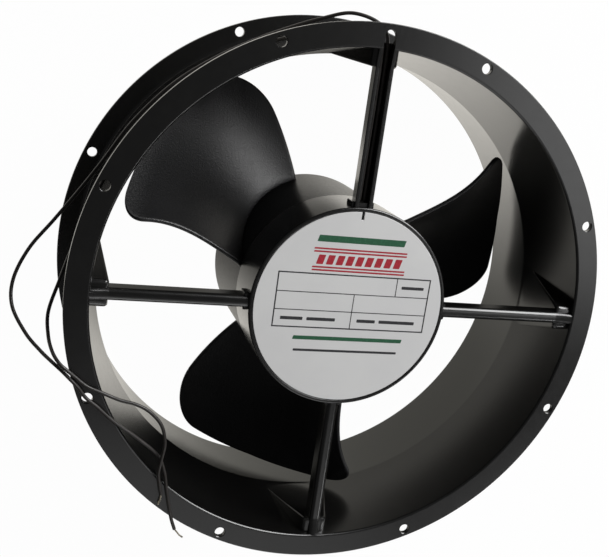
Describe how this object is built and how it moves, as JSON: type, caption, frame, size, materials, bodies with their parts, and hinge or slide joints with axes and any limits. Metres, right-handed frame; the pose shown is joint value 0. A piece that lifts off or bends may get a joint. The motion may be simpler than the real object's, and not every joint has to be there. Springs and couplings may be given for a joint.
{
  "type": "tubeaxial fan",
  "caption": "Round tubeaxial cooling fan: waisted duct with two bolt flanges, strut-mounted external-rotor motor, wide-blade impeller and free wire leads.",
  "frame": {"origin": "centre of the rear flange's outer face, on the fan's axis", "axes": "+Z along the fan's axis from the rear flange to the nameplate side; +Y along the strut that carries the leads"},
  "size_m": [0.2757, 0.2567, 0.0916],
  "materials": {
    "black_paint": "semi-gloss black powder coat on cast aluminium",
    "spider_paint": "semi-gloss black powder coat on cast aluminium",
    "black_moulding": "satin black glass-filled moulding",
    "plate_silver": "pale grey printed foil on a thin plate",
    "grommet_rubber": "matt black rubber",
    "steel": "bright turned or pressed steel",
    "bearing_steel": "ground bearing steel",
    "lamination": "stacked electrical steel, dull grey",
    "copper": "enamelled copper winding",
    "insulator_white": "off-white moulded insulator",
    "board_tan": "tan laminate board",
    "protector_black": "black moulded case",
    "capacitor_grey": "grey moulded case",
    "lead_black": "satin black wire insulation",
    "tinned_copper": "tinned stranded copper"
  },
  "bodies": {
    "frame": {"venturi_housing": "black_paint", "motor_spider": "spider_paint", "nameplate": "plate_silver", "lead_grommet": "grommet_rubber", "bearing_tube": "steel", "stator_core": "lamination", "stator_insulator_front": "insulator_white", "stator_insulator_rear": "insulator_white", "winding_coil_1": "copper", "winding_coil_2": "copper", "winding_coil_3": "copper", "winding_coil_4": "copper", "terminal_board": "board_tan", "thermal_protector": "protector_black", "run_capacitor": "capacitor_grey", "front_bearing_outer_race": "bearing_steel", "rear_bearing_outer_race": "bearing_steel", "inner_lead_1": "lead_black", "inner_lead_2": "lead_black", "lead_wire_1": "lead_black", "lead_wire_2": "lead_black", "bare_tip_1": "tinned_copper", "bare_tip_2": "tinned_copper"},
    "rotor": {"impeller": "black_moulding", "rotor_cup": "steel", "rotor_ring": "lamination", "motor_shaft": "steel", "shaft_bushing": "steel", "retaining_clip": "steel", "preload_washer": "steel", "front_bearing_inner_race": "bearing_steel", "rear_bearing_inner_race": "bearing_steel", "impeller_screw_1": "steel", "impeller_screw_2": "steel", "impeller_screw_3": "steel"},
    "front_ball_set": {"front_bearing_balls": "bearing_steel"},
    "rear_ball_set": {"rear_bearing_balls": "bearing_steel"}
  },
  "joints": [
    {"name": "impeller_spin", "type": "hinge", "parent": "frame", "child": "rotor", "pos_m": [0, 0, 0.0445], "axis": [0, 0, 1], "continuous": true},
    {"name": "front_balls_orbit", "type": "hinge", "parent": "frame", "child": "front_ball_set", "pos_m": [0, 0, 0.0719], "axis": [0, 0, 1], "continuous": true},
    {"name": "rear_balls_orbit", "type": "hinge", "parent": "frame", "child": "rear_ball_set", "pos_m": [0, 0, 0.0146], "axis": [0, 0, 1], "continuous": true}
  ],
  "couplings": [
    {"joint": "front_balls_orbit", "follows": "impeller_spin", "ratio": 0.3733},
    {"joint": "rear_balls_orbit", "follows": "impeller_spin", "ratio": 0.3733}
  ]
}
